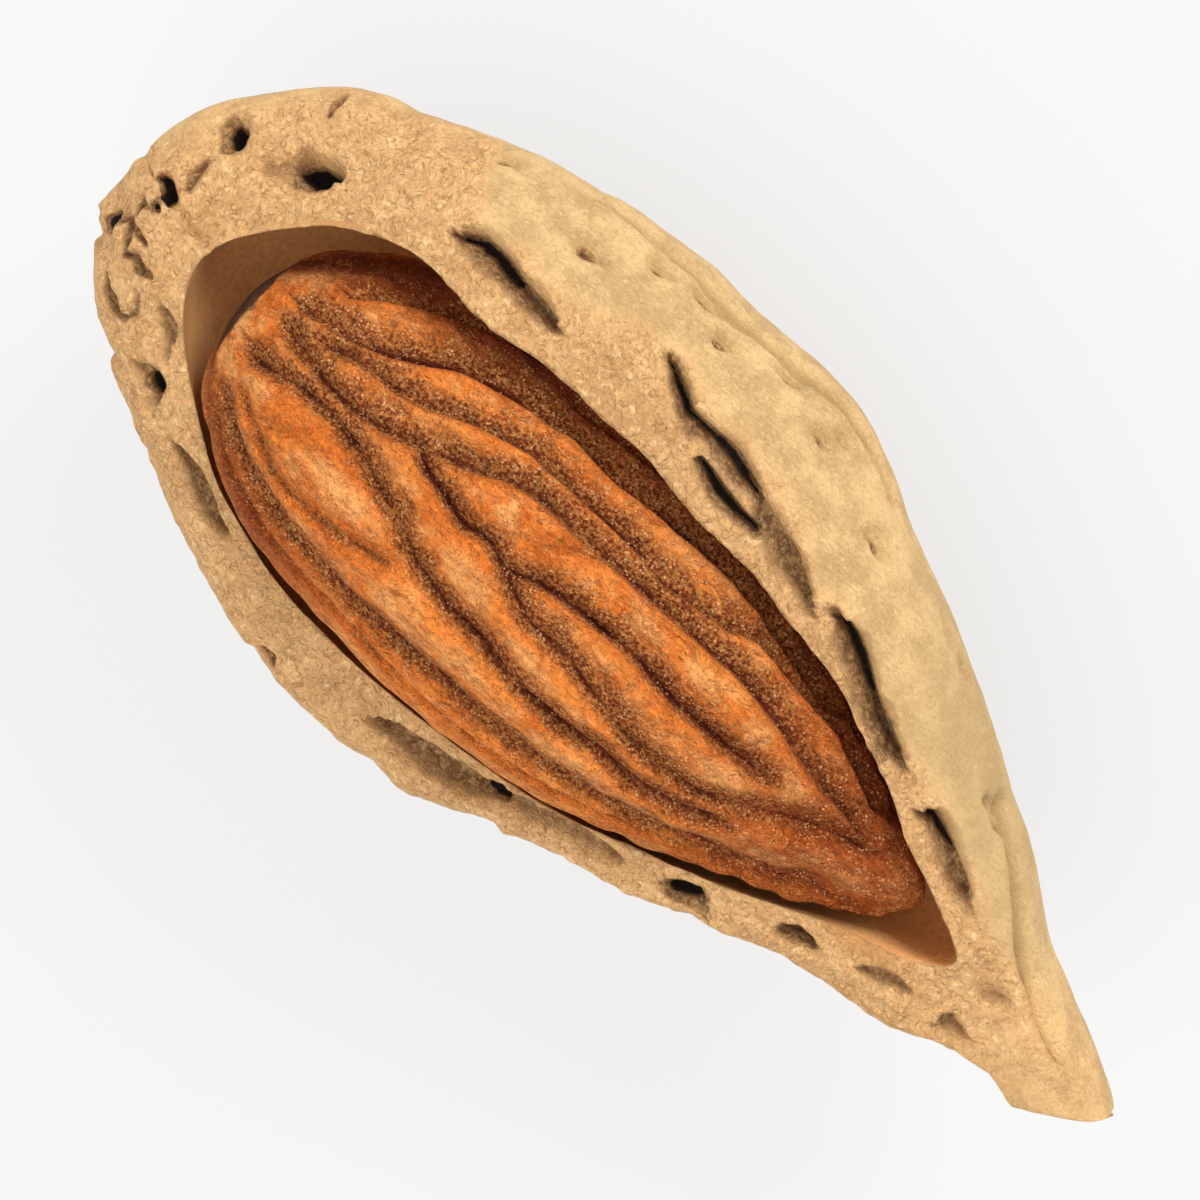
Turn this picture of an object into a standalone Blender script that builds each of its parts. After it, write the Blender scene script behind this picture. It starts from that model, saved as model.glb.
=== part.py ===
"""Almond in one half of its shell: a pitted, boat-shaped half shell with the whole brown-skinned kernel lying in it.

Metres, +Z up. +X runs along the nut to its pointed tip, +Y to the thick keel side of the seam, and the open side
of the shell faces up. The object rests on a small flat spot under the shell, at z = 0.
Forms are written in millimetres, in a frame whose z = 0 is the nut's own seam plane, and placed at the end.
"""

import math

import bmesh
import bpy
import numpy as np

MM = 0.001

# Outlines: (position along the nut, size) pairs in millimetres, joined by a smooth curve. A side's sizes are those
# of the round end's envelope, so that the real half width is the size times the height of a unit circle there.
SHELL_ENDS = (-18.5, 18.7)
SHELL = {
    "centre": ((-18.5, 0.8), (-10, 0.35), (0, 0), (13, -0.8), (18.7, -0.95)),
    "keel": ((-18.5, 6.2), (-15, 8.5), (-10, 8.9), (-4.6, 8.85), (-1, 8.7), (2, 8.15), (5.6, 7.0), (9.3, 5.75),
             (11.7, 4.75), (14.3, 3.1), (16, 2.5), (18.7, 2.2)),
    "back": ((-18.5, 7.9), (-15.5, 7.9), (-10.5, 7.95), (-7.3, 8.15), (-5, 7.9), (-2.4, 7.5), (0.4, 6.3),
             (3.8, 5.05), (6.6, 3.9), (9.1, 2.9), (11.9, 2.45), (14.8, 1.65), (18.7, 1.9)),
    "depth": ((-18.5, 6.0), (-10, 6.9), (-3, 7.2), (5, 6.2), (11, 4.8), (18.7, 4.2)),
    "crown_keel": ((-18.5, 3.0), (-14, 3.4), (-10, 4.9), (-3, 5.5), (9, 5.1), (18.7, 4.6)),
    "crown_back": ((-18.5, 4.0), (-10, 5.3), (-3, 5.5), (9, 5.1), (18.7, 4.6)),
}
HOLLOW_ENDS = (-14.75, 12.05)
HOLLOW = {
    "centre": ((-14.75, 0.6), (-10, 0.1), (0, -0.1), (8, 0.3), (12.05, 0.2)),
    "keel": ((-14.75, 3.4), (-13.8, 5.3), (-12.5, 6.9), (-11.2, 7.15), (-9.2, 6.6), (-5.4, 5.9), (-1.2, 5.45),
             (2.5, 4.95), (5.9, 4.2), (9, 2.85), (10.6, 1.9), (12.05, 1.2)),
    "back": ((-14.75, 5.7), (-12.9, 5.65), (-11, 6.1), (-9.4, 6.05), (-5.3, 5.45), (-1.7, 4.95), (2, 4.55),
             (5, 4.05), (8, 3.3), (9.6, 2.75), (12.05, 2.4)),
    "depth": ((-14.75, 5.2), (-8, 4.4), (0, 4.2), (8, 3.7), (12.05, 4.0)),
    "crown_keel": ((-14.75, 16), (-12.5, 9), (-10, 7.2), (-6, 6.9), (0, 6.9), (6, 6.9), (10, 8), (12.05, 14)),
    "crown_back": ((-14.75, 16), (-12.5, 8.5), (-10, 6.4), (-6, 6.0), (0, 6.0), (6, 6.1), (10, 8), (12.05, 14)),
}
KERNEL_ENDS = (-11.75, 11.75)
KERNEL = {
    "centre": ((-11.75, -0.1), (0, -0.1), (11.75, 0.1)),
    "keel": ((-11.75, 6.0), (-9, 5.75), (-4, 5.15), (2, 4.7), (6, 3.8), (9, 2.85), (11.75, 1.8)),
    "back": ((-11.75, 6.6), (-9, 5.95), (-4, 5.1), (1, 4.75), (5, 4.15), (8.5, 3.35), (11.75, 2.4)),
    "depth": ((-11.75, 4.2), (-4, 3.9), (3, 3.7), (11.75, 2.7)),
    "crown_keel": ((-11.75, 4.4), (-4, 4.0), (3, 3.9), (11.75, 2.7)),
    "crown_back": ((-11.75, 4.4), (-4, 4.0), (3, 3.9), (11.75, 2.7)),
}
KERNEL_ROLL_DEG = 26  # the kernel leans to the keel side, with its thin edge at the rim on the other side
KERNEL_AT = (-1.45, 0.32, 1.2)
GROOVES_ROUND_KERNEL = 12
GROOVE_DEPTH = 0.36
LIP_HEIGHT = 0.14

RIM_HEIGHT = 2.9  # of the split face over the seam plane, at mid width
RIM_SLOPE = 0.075  # it rises to the keel side
RIM_CENTRE, RIM_SAG = -2.0, 0.0036  # and falls towards both ends
REST_HEIGHT = -6.8  # of the flat spot
TIP_CUT_FROM, TIP_CUT_TURN_DEG = (15.5, -1.75), 20

# Holes in the split face: (x, y, length, width, depth, turn in degrees about the upright)
RIM_HOLES = (
    (-8.3, 5.9, 3.1, 0.7, 1.2, -4), (-3.1, 6.6, 1.6, 0.5, 1.0, -62), (-0.6, 6.1, 3.2, 0.9, 0.7, -22),
    (1.6, 5.3, 2.6, 0.8, 0.6, -38), (5.4, 4.4, 3.6, 0.7, 0.9, -27), (9.6, 2.5, 2.4, 0.6, 0.8, -22),
    (-14.0, 4.0, 1.4, 0.9, 1.6, 28), (-16.3, 3.2, 0.9, 0.6, 1.4, -59), (-14.7, 5.4, 0.8, 0.35, 0.6, 83),
    (-16.8, 0.9, 1.1, 0.8, 0.5, 0), (-16.2, -0.7, 1.9, 0.45, 0.6, -8), (-15.8, -2.0, 1.7, 0.5, 0.6, -82),
    (-14.2, -1.6, 0.7, 0.5, 0.4, -39), (-13.5, -3.0, 0.7, 0.6, 1.0, -48), (-10.8, -4.6, 2.2, 0.5, 0.5, -22),
    (-1.8, -5.3, 3.8, 0.7, 0.7, 14), (2.0, -4.5, 3.4, 0.6, 0.6, 12), (5.7, -3.3, 1.2, 0.6, 1.1, 24),
    (8.4, -2.2, 1.0, 0.5, 0.9, 25), (10.9, -1.9, 1.0, 0.45, 0.5, 24), (12.9, -1.5, 1.0, 0.45, 0.5, 23),
    (13.1, 0.2, 0.8, 0.6, 0.5, 15),
)
# Pits in the outside: (position along the nut, degrees round it from the keel edge, positive upward, width)
HULL_PITS = (
    (-10.5, 16, 0.7), (-7.4, 27, 0.7), (-5.6, 17, 0.6), (-4.3, 14, 0.8), (-3.3, 23, 0.7), (-1.3, 13, 0.8),
    (0.4, 24, 0.6), (3.2, 22, 0.7), (7.0, 4, 0.7), (10.0, 20, 0.6),
    (-12.0, -25, 0.9), (-6.5, -32, 0.8), (0.5, -28, 0.9), (5.0, -45, 0.7), (-14.0, -60, 0.9), (-9.0, -64, 0.8),
    (-12.5, 230, 0.9), (-7.0, 205, 0.8), (-1.0, 222, 0.9), (4.5, 210, 0.8), (9.0, 228, 0.7), (-9.5, 247, 0.8),
)
KEEL_GROOVE_DEPTH = 0.45  # beside the keel, towards the tip


def curve_through(x, knots):
    """Smooth curve through the knots: a cubic on each span, with the spans' blended slope at each knot."""
    at, value = np.array(knots, float).T
    span = np.diff(at)
    slope = np.diff(value) / span
    tangent = np.empty(len(at))
    tangent[0], tangent[-1] = slope[0], slope[-1]
    tangent[1:-1] = (slope[1:] * span[:-1] + slope[:-1] * span[1:]) / (span[1:] + span[:-1])
    x = np.clip(x, at[0], at[-1])
    i = np.clip(np.searchsorted(at, x, side="right") - 1, 0, len(at) - 2)
    t = (x - at[i]) / span[i]
    start = (1 + 2 * t) * (1 - t) ** 2 * value[i] + t * (1 - t) ** 2 * span[i] * tangent[i]
    return start + t * t * (3 - 2 * t) * value[i + 1] + t * t * (t - 1) * span[i] * tangent[i + 1]


def egg_points(form, ends, along, across, up):
    """Points of a long egg: along is -1 to 1, and (across, up) the direction round its section, of length 1.
    Each quarter of a section is a quarter ellipse with its own half axes."""
    x = (ends[0] + ends[1]) / 2 + (ends[1] - ends[0]) / 2 * along
    circle = np.sqrt(np.maximum(0, 1 - along**2))
    side = np.where(across > 0, curve_through(x, form["keel"]), curve_through(x, form["back"]))
    crown = np.where(across > 0, curve_through(x, form["crown_keel"]), curve_through(x, form["crown_back"]))
    tall = np.where(up > 0, crown, curve_through(x, form["depth"]))
    return np.stack([x, curve_through(x, form["centre"]) + circle * side * across, circle * tall * up], -1)


def rim_height(x, y):
    """Height of the split face: a gentle slope that sags to both ends, with low waves."""
    waves = 0.10 * np.sin(0.9 * x + 0.5 * y) + 0.07 * np.sin(1.7 * x - 1.1 * y + 1.0)
    return RIM_HEIGHT + RIM_SLOPE * y - RIM_SAG * (x - RIM_CENTRE) ** 2 + waves


def shell_relief(along, angle):
    """Share that the outside swells or sinks: low waves, and a groove beside the keel near the tip."""
    waves = 0.012 * np.sin(9 * along + 2 * angle) + 0.010 * np.sin(17 * along - 3 * angle + 0.7)
    groove = np.exp(-(((angle + 0.25) / 0.22) ** 2)) * np.clip((along - 0.35) / 0.2, 0, 1)
    return 1 + waves - KEEL_GROOVE_DEPTH / 3 * groove * np.clip((1 - along) / 0.15, 0, 1)


def kernel_relief(along, angle):
    """Share that the kernel's skin swells or sinks: sharp grooves that wave along it between round ridges, and
    a thin lip round its edge."""
    phase = GROOVES_ROUND_KERNEL * angle / 2 + 0.9 * np.sin(4.2 * along + 0.6) + 0.5 * np.sin(9 * along + 2 * angle)
    groove = np.exp(-((np.sin(phase) / 0.42) ** 2))
    lip = np.exp(-((np.sin(angle) / 0.10) ** 2))
    fade = np.clip((1 - np.abs(along)) / 0.12, 0, 1)
    return 1 + fade * (LIP_HEIGHT * lip - GROOVE_DEPTH * groove * (1 - lip)) / 4.5


def new_object(name, mesh, collection):
    made = bpy.data.objects.new(name, mesh)
    collection.objects.link(made)
    return made


def mesh_from(bm, name):
    mesh = bpy.data.meshes.new(name)
    bm.to_mesh(mesh)
    bm.free()
    return mesh


def egg_mesh(name, form, ends, segments, rings, relief=None):
    """A UV sphere with its poles turned along X, reshaped into the egg."""
    bm = bmesh.new()
    bmesh.ops.create_uvsphere(bm, u_segments=segments, v_segments=rings, radius=1)
    unit = np.array([v.co for v in bm.verts])
    along, across, up = unit[:, 2], unit[:, 0], unit[:, 1]
    length = np.maximum(np.hypot(across, up), 1e-9)
    across, up = across / length, up / length
    points = egg_points(form, ends, along, across, up)
    if relief is not None:
        share = relief(along, np.arctan2(up, across))
        centre = curve_through(points[:, 0], form["centre"])
        points[:, 1] = centre + (points[:, 1] - centre) * share
        points[:, 2] *= share
    for vert, point in zip(bm.verts, points):
        vert.co = point * MM
    return mesh_from(bm, name)


def rim_cutter(collection):
    """All that lies over the split face: a wavy sheet drawn up into a block."""
    bm = bmesh.new()
    bmesh.ops.create_grid(bm, x_segments=30, y_segments=14, size=1)
    flat = np.array([v.co for v in bm.verts]) * (21, 11, 0)
    flat[:, 2] = rim_height(flat[:, 0], flat[:, 1])
    for vert, point in zip(bm.verts, flat):
        vert.co = point * MM
    raised = bmesh.ops.extrude_face_region(bm, geom=bm.faces[:])
    for part in raised["geom"]:
        if isinstance(part, bmesh.types.BMVert):
            part.co.z = 12 * MM
    bmesh.ops.recalc_face_normals(bm, faces=bm.faces)
    return new_object("rim_cutter", mesh_from(bm, "rim_cutter"), collection)


def block_cutter(name, collection, size, at, turn_deg=0):
    bm = bmesh.new()
    bmesh.ops.create_cube(bm, size=1)
    for vert in bm.verts:
        vert.co = [value * side * MM for value, side in zip(vert.co, size)]
    block = new_object(name, mesh_from(bm, name), collection)
    block.location = [value * MM for value in at]
    block.rotation_euler.z = math.radians(turn_deg)
    return block


def tip_cutter(collection):
    """The chisel end: a block whose face runs slantwise through the tip."""
    turn = math.radians(TIP_CUT_TURN_DEG)
    length, depth = 8.0, 4.0
    x = TIP_CUT_FROM[0] + (length / 2 - 0.5) * math.cos(turn) + depth / 2 * math.sin(turn)
    y = TIP_CUT_FROM[1] + (length / 2 - 0.5) * math.sin(turn) - depth / 2 * math.cos(turn)
    return block_cutter("tip_cutter", collection, (length, depth, 20), (x, y, 0), TIP_CUT_TURN_DEG)


def bead(name, collection, at, size, turn_deg):
    """A long round pit: a small sphere stretched to its length, width and depth."""
    bm = bmesh.new()
    bmesh.ops.create_uvsphere(bm, u_segments=8, v_segments=6, radius=0.5)
    cosine, sine = math.cos(math.radians(turn_deg)), math.sin(math.radians(turn_deg))
    for vert in bm.verts:
        x, y, z = vert.co.z * size[0], vert.co.x * size[1], vert.co.y * size[2]
        vert.co = ((at[0] + x * cosine - y * sine) * MM, (at[1] + x * sine + y * cosine) * MM, (at[2] + z) * MM)
    return new_object(name, mesh_from(bm, name), collection)


def rim_holes(collection):
    for number, (x, y, length, width, depth, turn) in enumerate(RIM_HOLES):
        top = hull_or_rim_height(x, y)
        bead(f"rim_hole_{number}", collection, (x, y, top), (length, width, 2 * depth), turn)


def hull_or_rim_height(x, y):
    """Height of the shell's upper surface at (x, y): the split face, or the outside where that is lower."""
    along = (x - (SHELL_ENDS[0] + SHELL_ENDS[1]) / 2) / ((SHELL_ENDS[1] - SHELL_ENDS[0]) / 2)
    circle = math.sqrt(max(0.0, 1 - along**2))
    offset = y - float(curve_through(x, SHELL["centre"]))
    side, crown = ("keel", "crown_keel") if offset > 0 else ("back", "crown_back")
    reach = abs(offset) / (circle * float(curve_through(x, SHELL[side])))
    top = circle * float(curve_through(x, SHELL[crown])) * math.sqrt(max(0.0, 1 - reach**2))
    return min(top, float(rim_height(x, y)))


def hull_pits(collection):
    for number, (x, degrees, width) in enumerate(HULL_PITS):
        along = (x - (SHELL_ENDS[0] + SHELL_ENDS[1]) / 2) / ((SHELL_ENDS[1] - SHELL_ENDS[0]) / 2)
        angle = math.radians(degrees)
        at = egg_points(SHELL, SHELL_ENDS, np.float64(along), np.cos(angle), np.sin(angle))
        bead(f"hull_pit_{number}", collection, at, (1.5 * width, width, width), 0)


def cut(target, cutter):
    modifier = target.modifiers.new(cutter.name, "BOOLEAN")
    modifier.operation = "DIFFERENCE"
    modifier.solver = "EXACT"
    modifier.object = cutter


def cut_all(target, collection, name):
    modifier = target.modifiers.new(name, "BOOLEAN")
    modifier.operation = "DIFFERENCE"
    modifier.operand_type = "COLLECTION"
    modifier.solver = "EXACT"
    modifier.collection = collection


def material(name, colour, roughness):
    made = bpy.data.materials.new(name)
    made.use_nodes = True
    shader = made.node_tree.nodes["Principled BSDF"]
    shader.inputs["Base Color"].default_value = (*colour, 1)
    shader.inputs["Roughness"].default_value = roughness
    shader.inputs["Metallic"].default_value = 0
    return made


def make_shell(parts, cutters, pits):
    mesh = egg_mesh("shell_half", SHELL, SHELL_ENDS, 56, 46, shell_relief)
    shell = new_object("shell_half", mesh, parts)
    hollow = new_object("hollow_cutter", egg_mesh("hollow_cutter", HOLLOW, HOLLOW_ENDS, 36, 28), cutters)
    rest_spot = block_cutter("rest_cutter", cutters, (30, 20, 4), (0, 0, REST_HEIGHT - 2))
    for cutter in (hollow, rim_cutter(cutters), rest_spot, tip_cutter(cutters)):
        cut(shell, cutter)
    rim_holes(pits)
    hull_pits(pits)
    cut_all(shell, pits, "pits")
    shell.data.materials.append(material("shell_wood", (0.62, 0.44, 0.24), 0.8))
    return shell


def make_kernel(parts):
    mesh = egg_mesh("kernel", KERNEL, KERNEL_ENDS, 52, 38, kernel_relief)
    kernel = new_object("kernel", mesh, parts)
    kernel.location = [value * MM for value in KERNEL_AT]
    kernel.rotation_euler.x = -math.radians(KERNEL_ROLL_DEG)
    kernel.data.materials.append(material("kernel_skin", (0.45, 0.17, 0.05), 0.6))
    kernel.data.shade_smooth()
    return kernel


def place_on_floor(objects, middle):
    """Moves all from the seam-plane frame to the part's own, with the rest spot at z = 0 and the box centred."""
    for item in objects:
        item.location = (item.location.x - middle[0], item.location.y - middle[1],
                         item.location.z - REST_HEIGHT * MM)


def clear_scene():
    for item in list(bpy.data.objects):
        bpy.data.objects.remove(item, do_unlink=True)


def new_collection(name, parent, shown):
    made = bpy.data.collections.new(name)
    parent.children.link(made)
    made.hide_render = not shown
    return made


def hide_cutters(collection):
    for cutter in collection.objects:
        cutter.hide_render = True
        cutter.display_type = "WIRE"


def box_middle(item):
    """Middle of the object's box in X and Y, with its modifiers."""
    bpy.context.view_layer.update()
    evaluated = item.evaluated_get(bpy.context.evaluated_depsgraph_get())
    points = np.array([v.co for v in evaluated.to_mesh().vertices])
    evaluated.to_mesh_clear()
    return (points.min(0) + points.max(0)) / 2


def main():
    clear_scene()
    root = bpy.context.scene.collection
    parts = new_collection("almond", root, True)
    cutters = new_collection("cutters", root, False)
    pits = new_collection("pits", root, False)
    shell = make_shell(parts, cutters, pits)
    kernel = make_kernel(parts)
    middle = box_middle(shell)
    place_on_floor([shell, kernel, *cutters.objects, *pits.objects], middle)
    hide_cutters(cutters)
    hide_cutters(pits)


main()
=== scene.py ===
"""Looks of an almond in one half of its shell: the pitted shell with its split face and dark hollow, and the
grooved brown kernel in it, on a pale floor.

Forms are written in millimetres in the nut's own frame, whose z = 0 is the seam plane: +x to the pointed tip,
+y to the thick keel side, +z out of the open side. to_part() gives metres in the part's frame.
"""

import bpy
import numpy as np
from mathutils import Matrix


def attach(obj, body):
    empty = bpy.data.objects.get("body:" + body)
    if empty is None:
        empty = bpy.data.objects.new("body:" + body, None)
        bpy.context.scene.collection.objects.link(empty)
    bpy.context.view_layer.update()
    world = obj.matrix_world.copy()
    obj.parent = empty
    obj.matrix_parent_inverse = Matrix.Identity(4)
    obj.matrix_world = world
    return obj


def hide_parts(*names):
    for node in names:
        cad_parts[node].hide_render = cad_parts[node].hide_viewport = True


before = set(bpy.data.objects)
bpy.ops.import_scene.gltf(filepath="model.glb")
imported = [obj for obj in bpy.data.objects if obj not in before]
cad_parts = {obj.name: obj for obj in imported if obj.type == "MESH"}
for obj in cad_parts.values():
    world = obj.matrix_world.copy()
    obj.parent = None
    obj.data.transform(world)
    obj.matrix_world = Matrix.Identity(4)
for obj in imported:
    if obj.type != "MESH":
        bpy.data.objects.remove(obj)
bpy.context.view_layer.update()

MM = 0.001
NUT_AT = np.array([-0.0143, -0.6535, 6.8])  # the nut's frame in the part's, in millimetres

# Outlines as in the CAD: (position along the nut, size) pairs, joined by a smooth curve.
SHELL_ENDS = (-18.5, 18.35)
SHELL = {
    "centre": ((-18.5, 0.8), (-10, 0.35), (0, 0), (13, -0.8), (18.7, -0.95)),
    "keel": ((-18.5, 6.2), (-15, 8.5), (-10, 8.9), (-4.6, 8.85), (-1, 8.7), (2, 8.15), (5.6, 7.0), (9.3, 5.75),
             (11.7, 4.75), (14.3, 3.1), (16, 2.5), (18.7, 2.2)),
    "back": ((-18.5, 7.9), (-15.5, 7.9), (-10.5, 7.95), (-7.3, 8.15), (-5, 7.9), (-2.4, 7.5), (0.4, 6.3),
             (3.8, 5.05), (6.6, 3.9), (9.1, 2.9), (11.9, 2.45), (14.8, 1.65), (18.7, 1.9)),
    "depth": ((-18.5, 6.0), (-10, 6.9), (-3, 7.2), (5, 6.2), (11, 4.8), (18.7, 4.2)),
    "crown_keel": ((-18.5, 3.0), (-14, 3.4), (-10, 4.9), (-3, 5.5), (9, 5.1), (18.7, 4.6)),
    "crown_back": ((-18.5, 4.0), (-10, 5.3), (-3, 5.5), (9, 5.1), (18.7, 4.6)),
}
HOLLOW_ENDS = (-14.75, 12.05)
HOLLOW = {
    "centre": ((-14.75, 0.6), (-10, 0.1), (0, -0.1), (8, 0.3), (12.05, 0.2)),
    "keel": ((-14.75, 3.4), (-13.8, 5.3), (-12.5, 6.9), (-11.2, 7.15), (-9.2, 6.6), (-5.4, 5.9), (-1.2, 5.45),
             (2.5, 4.95), (5.9, 4.2), (9, 2.85), (10.6, 1.9), (12.05, 1.2)),
    "back": ((-14.75, 5.7), (-12.9, 5.65), (-11, 6.1), (-9.4, 6.05), (-5.3, 5.45), (-1.7, 4.95), (2, 4.55),
             (5, 4.05), (8, 3.3), (9.6, 2.75), (12.05, 2.4)),
    "depth": ((-14.75, 5.2), (-8, 4.4), (0, 4.2), (8, 3.7), (12.05, 4.0)),
    "crown_keel": ((-14.75, 16), (-12.5, 9), (-10, 7.2), (-6, 6.9), (0, 6.9), (6, 6.9), (10, 8), (12.05, 14)),
    "crown_back": ((-14.75, 16), (-12.5, 8.5), (-10, 6.4), (-6, 6.0), (0, 6.0), (6, 6.1), (10, 8), (12.05, 14)),
}
KERNEL_ENDS = (-11.75, 11.75)
KERNEL = {
    "centre": ((-11.75, -0.1), (0, -0.1), (11.75, 0.1)),
    "keel": ((-11.75, 6.0), (-9, 5.75), (-4, 5.15), (2, 4.7), (6, 3.8), (9, 2.85), (11.75, 1.8)),
    "back": ((-11.75, 6.6), (-9, 5.95), (-4, 5.1), (1, 4.75), (5, 4.15), (8.5, 3.35), (11.75, 2.4)),
    "depth": ((-11.75, 4.2), (-4, 3.9), (3, 3.7), (11.75, 2.7)),
    "crown_keel": ((-11.75, 4.4), (-4, 4.0), (3, 3.9), (11.75, 2.7)),
    "crown_back": ((-11.75, 4.4), (-4, 4.0), (3, 3.9), (11.75, 2.7)),
}
# How the kernel lies in the hollow: rolled about its length, and moved.
KERNEL_ROLL_DEG = 26
KERNEL_AT = np.array([-1.45, 0.32, 1.2])
# The split face: its height in the middle, its rise to the keel side, and its sag to both ends.
RIM_HEIGHT = 2.9
RIM_SLOPE = 0.075
RIM_CENTRE, RIM_SAG = -2.0, 0.0036
REST_HEIGHT = -6.8
# The tip's slanting end: where its cut starts, and the cut's turn from the nut's length.
TIP_CUT_FROM, TIP_CUT_TURN_DEG = (15.6, -2.05), 33.0
# How finely the pieces are divided: the shell's turns and the rows of its parts, and the kernel's turns and rows.
SHELL_TURNS, OUTSIDE_ROWS, FACE_ROWS, HOLLOW_ROWS = 1150, 17, 55, 14
KERNEL_TURNS, KERNEL_ROWS = 330, 300

# Holes in the upper face: points (x, y) along the line, half width on its left, half width on its right, depth,
# and how dark it is painted inside, as painted shade for the hole's depth. The left is the side that a walker along
# the line has on the left hand.
RIM_HOLES = (
    ([(-9.9, 5.8), (-9.5, 6.1), (-8.9, 6.1), (-8.1, 6.0)], 0.1, 0.34, 1.1, 1.0),
    ([(-8.1, 6.0), (-7.2, 5.9), (-6.7, 5.8)], 0.1, 0.34, 0.8, 0.8),
    ([(-3.8, 7.1), (-3.2, 6.8), (-2.7, 6.5), (-2.2, 6.5)], 0.1, 0.22, 0.9, 1.0),
    ([(-2.2, 6.5), (-1.1, 6.5), (-0.1, 6.2)], 0.1, 0.34, 0.8, 0.95),
    ([(-0.1, 6.2), (0.8, 5.8), (1.7, 5.5), (2.6, 5.0)], 0.1, 0.4, 0.6, 0.68),
    ([(-1.9, 6.1), (-1.2, 6.0), (-0.2, 5.8), (1.0, 5.6), (1.9, 5.2)], 0.4, 0.4, 0.3, 0.3),
    ([(-1.7, 5.7), (-0.9, 5.5), (-0.1, 5.4), (0.6, 5.3)], 0.14, 0.2, 0.9, 1.0),
    ([(3.9, 5.1), (4.3, 5.0), (4.8, 4.7), (5.4, 4.3)], 0.12, 0.36, 1.1, 1.0),
    ([(5.4, 4.3), (6.2, 3.9), (7.1, 3.5)], 0.12, 0.36, 0.9, 0.85),
    ([(8.7, 2.8), (8.9, 2.9), (9.4, 2.7), (9.8, 2.5)], 0.12, 0.3, 1.0, 0.95),
    ([(9.8, 2.5), (10.3, 2.1), (10.8, 1.8)], 0.12, 0.32, 0.6, 0.6),
    ([(13.1, 0.1), (13.3, 0.2)], 0.2, 0.26, 0.25, 0.42),
    ([(-14.15, 3.85), (-13.65, 4.1)], 0.4, 0.22, 1.5, 1.4),
    ([(-15.0, 3.2), (-14.6, 3.5), (-14.1, 3.7)], 0.35, 0.3, 0.5, 0.35),
    ([(-16.4, 3.4), (-16.15, 3.1)], 0.26, 0.2, 1.1, 1.4),
    ([(-14.7, 5.7), (-14.7, 5.4), (-14.6, 5.2)], 0.06, 0.1, 0.4, 0.8),
    ([(-16.3, 2.1), (-16.3, 1.7), (-16.2, 1.3)], 0.14, 0.16, 0.3, 0.6),
    ([(-17.3, 1.0), (-17.0, 1.05), (-16.65, 1.0), (-16.4, 0.8), (-16.4, 0.5)], 0.12, 0.16, 0.5, 1.3),
    ([(-17.1, 0.6), (-16.9, 0.3), (-16.9, -0.1)], 0.08, 0.08, 0.25, 0.7),
    ([(-16.8, 0.3), (-16.5, 0.4)], 0.12, 0.12, 0.2, 0.45),
    ([(-17.4, -0.6), (-17.4, -0.8), (-17.2, -1.0)], 0.16, 0.14, 0.4, 1.4),
    ([(-17.2, -0.7), (-17.1, -0.4), (-16.9, -0.4), (-16.6, -0.8), (-16.4, -1.1)], 0.1, 0.12, 0.35, 0.6),
    ([(-16.4, -1.1), (-16.1, -0.9), (-15.8, -1.0), (-15.4, -0.9)], 0.08, 0.14, 0.35, 0.8),
    ([(-16.7, -0.4), (-16.4, -0.4), (-16.1, -0.4)], 0.08, 0.12, 0.3, 0.7),
    ([(-16.4, -1.9), (-16.1, -2.2), (-15.8, -2.3), (-15.5, -2.4), (-15.3, -2.4)], 0.1, 0.14, 0.4, 0.75),
    ([(-15.3, -2.4), (-15.2, -2.0), (-15.4, -1.6)], 0.1, 0.14, 0.25, 0.5),
    ([(-14.5, -1.3), (-14.1, -1.5), (-13.9, -1.8)], 0.08, 0.3, 0.35, 0.5),
    ([(-13.75, -2.95), (-13.45, -3.1)], 0.16, 0.16, 0.9, 1.4),
    ([(-14.1, -2.9), (-13.7, -2.8), (-13.4, -2.9), (-13.2, -3.3)], 0.08, 0.3, 0.4, 0.5),
    ([(-11.9, -3.8), (-11.3, -3.9), (-10.6, -4.2), (-10.1, -4.4), (-9.6, -4.5)], 0.08, 0.3, 0.5, 0.6),
    ([(-6.8, -6.5), (-6.6, -6.5), (-6.4, -6.7)], 0.12, 0.14, 0.4, 1.0),
    ([(-3.3, -5.5), (-2.7, -5.3), (-1.8, -5.2), (-0.7, -5.0), (0.1, -4.8)], 0.08, 0.36, 0.6, 0.65),
    ([(0.0, -4.8), (0.5, -4.7)], 0.12, 0.16, 0.7, 1.3),
    ([(0.3, -4.7), (0.9, -4.5), (2.0, -4.2), (3.1, -3.9), (3.7, -3.8)], 0.1, 0.3, 0.35, 0.45),
    ([(5.3, -3.4), (5.9, -3.2)], 0.14, 0.2, 0.9, 1.2),
    ([(5.1, -3.4), (5.4, -3.2), (5.9, -3.1), (6.2, -3.3)], 0.08, 0.26, 0.5, 0.5),
    ([(8.1, -2.3), (8.4, -2.1), (8.8, -2.0)], 0.08, 0.2, 0.6, 0.85),
    ([(10.3, -1.6), (10.7, -1.4), (11.1, -1.3), (11.4, -1.3)], 0.08, 0.24, 0.35, 0.5),
    ([(12.8, -1.4), (12.9, -1.2), (13.2, -1.2)], 0.08, 0.24, 0.35, 0.46),
)
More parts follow.
